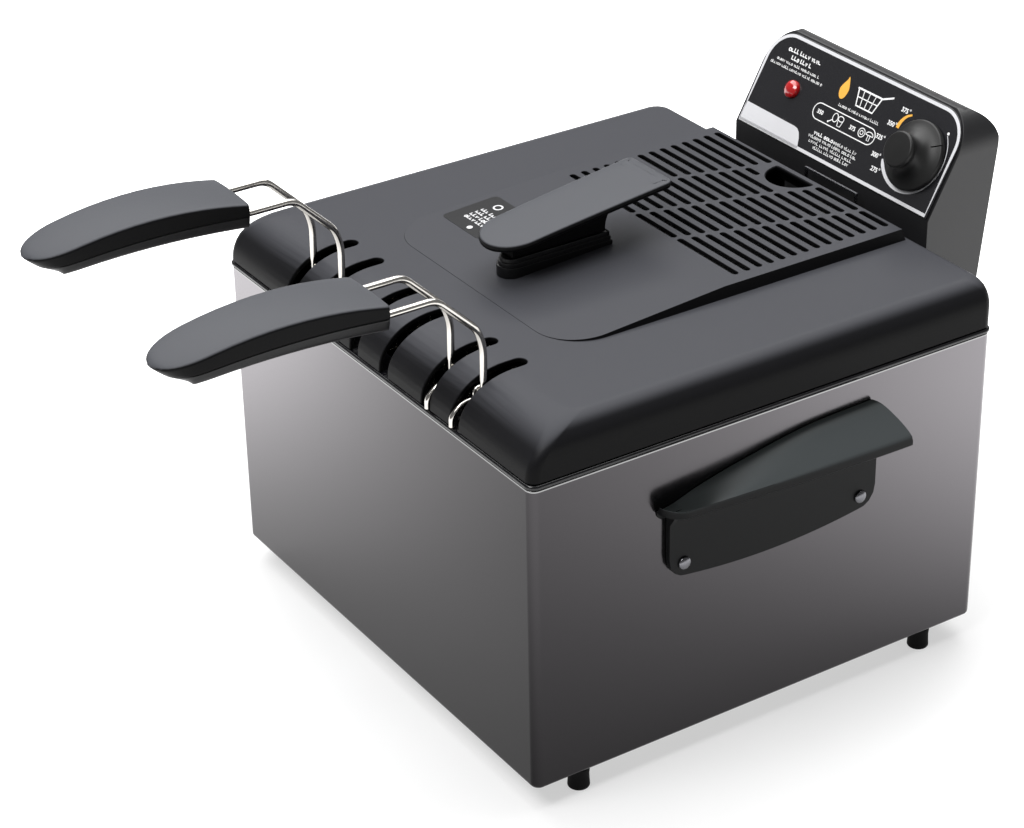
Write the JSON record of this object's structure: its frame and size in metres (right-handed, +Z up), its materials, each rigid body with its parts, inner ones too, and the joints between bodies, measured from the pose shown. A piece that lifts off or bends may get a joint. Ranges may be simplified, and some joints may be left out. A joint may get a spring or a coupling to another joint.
{
  "type": "deep fryer",
  "caption": "Box-shaped immersion deep fryer with a vented lid, wire baskets on folding handles, side grips and a lift-off sloping control head with a dial.",
  "frame": {"origin": "middle of the whole object's footprint, on the surface that the feet stand on", "axes": "+Z up, the basket handles point towards -Y, the control head is at +Y, +X is to the right as seen from the front"},
  "size_m": [0.344, 0.4994, 0.2787],
  "materials": {
    "steel": "satin",
    "black_plastic": "satin",
    "charcoal_plastic": "fine texture",
    "enamel": "gloss",
    "rubber": "matte",
    "zinc_hardware": "zinc plated",
    "wire_metal": "plated wire",
    "filter_mesh": "woven mesh",
    "filter_foam": "open-cell foam",
    "element_sheath": "oxidised",
    "label_print": "printed gloss",
    "red_lens": "translucent gloss",
    "red_button": "gloss"
  },
  "bodies": {
    "housing": {"housing_shell": "steel", "base_pan": "zinc_hardware", "foot_front_left": "rubber", "foot_front_right": "rubber", "foot_rear_left": "rubber", "foot_rear_right": "rubber", "base_screw_1": "zinc_hardware", "base_screw_2": "zinc_hardware", "base_screw_3": "zinc_hardware", "base_screw_4": "zinc_hardware", "head_guide": "zinc_hardware", "side_handle_right": "black_plastic", "side_handle_left": "black_plastic", "handle_rivet_right_1": "zinc_hardware", "handle_rivet_right_2": "zinc_hardware", "handle_rivet_left_1": "zinc_hardware", "handle_rivet_left_2": "zinc_hardware"},
    "pot": {"pot": "enamel"},
    "lid": {"lid_shell": "charcoal_plastic", "lid_handle": "charcoal_plastic", "lid_handle_base": "black_plastic", "lid_handle_screw_1": "zinc_hardware", "lid_handle_screw_2": "zinc_hardware", "filter_screen": "filter_mesh", "filter_pad": "filter_foam", "filter_frame": "black_plastic"},
    "head": {"head_shell": "charcoal_plastic", "rear_cover": "black_plastic", "label_panel": "label_print", "indicator_lens": "red_lens", "neon_lamp": "red_lens", "thermostat": "zinc_hardware", "heating_element": "element_sheath", "element_bracket": "wire_metal", "power_inlet": "black_plastic", "inlet_pin_1": "wire_metal", "inlet_pin_2": "wire_metal", "cover_screw_1": "zinc_hardware", "cover_screw_2": "zinc_hardware", "cover_screw_3": "zinc_hardware", "cover_screw_4": "zinc_hardware", "thermal_cutout": "zinc_hardware"},
    "knob": {"knob_shaft": "zinc_hardware", "control_knob": "black_plastic"},
    "reset_button": {"reset_button": "red_button"},
    "basket_right": {"basket_right": "wire_metal", "basket_hanger_right": "wire_metal"},
    "handle_right": {"handle_wire_right": "wire_metal", "handle_grip_top_right": "charcoal_plastic", "handle_grip_lower_right": "black_plastic", "handle_screw_right": "zinc_hardware"},
    "basket_left": {"basket_left": "wire_metal", "basket_hanger_left": "wire_metal"},
    "handle_left": {"handle_wire_left": "wire_metal", "handle_grip_top_left": "charcoal_plastic", "handle_grip_lower_left": "black_plastic", "handle_screw_left": "zinc_hardware"}
  },
  "joints": [
    {"name": "pot_lift", "type": "slide", "parent": "housing", "child": "pot", "axis": [0, 0, 1], "range_m": [0, 0.15]},
    {"name": "lid_lift", "type": "slide", "parent": "pot", "child": "lid", "axis": [0, -0.2425, 0.9701], "range_m": [0, 0.25]},
    {"name": "head_lift", "type": "slide", "parent": "pot", "child": "head", "axis": [0, 0, 1], "range_m": [0, 0.006]},
    {"name": "knob_turn", "type": "hinge", "parent": "head", "child": "knob", "pos_m": [0.0587, 0.21586, 0.24777], "axis": [0, 0.8729, -0.4879], "range_deg": [0, 285]},
    {"name": "reset_press", "type": "slide", "parent": "head", "child": "reset_button", "axis": [0, -0.9928, 0.1201], "range_m": [0, 0.002], "stiffness_N_per_m": 400},
    {"name": "basket_right_lift", "type": "slide", "parent": "pot", "child": "basket_right", "axis": [0, 0, 1], "range_m": [0, 0.035]},
    {"name": "handle_right_fold", "type": "hinge", "parent": "basket_right", "child": "handle_right", "pos_m": [0.06895, -0.0802, 0.2058], "axis": [-1, 0, 0], "range_deg": [0, 55]},
    {"name": "basket_left_lift", "type": "slide", "parent": "pot", "child": "basket_left", "axis": [0, 0, 1], "range_m": [0, 0.035]},
    {"name": "handle_left_fold", "type": "hinge", "parent": "basket_left", "child": "handle_left", "pos_m": [-0.06895, -0.0802, 0.2058], "axis": [-1, 0, 0], "range_deg": [0, 55]}
  ]
}
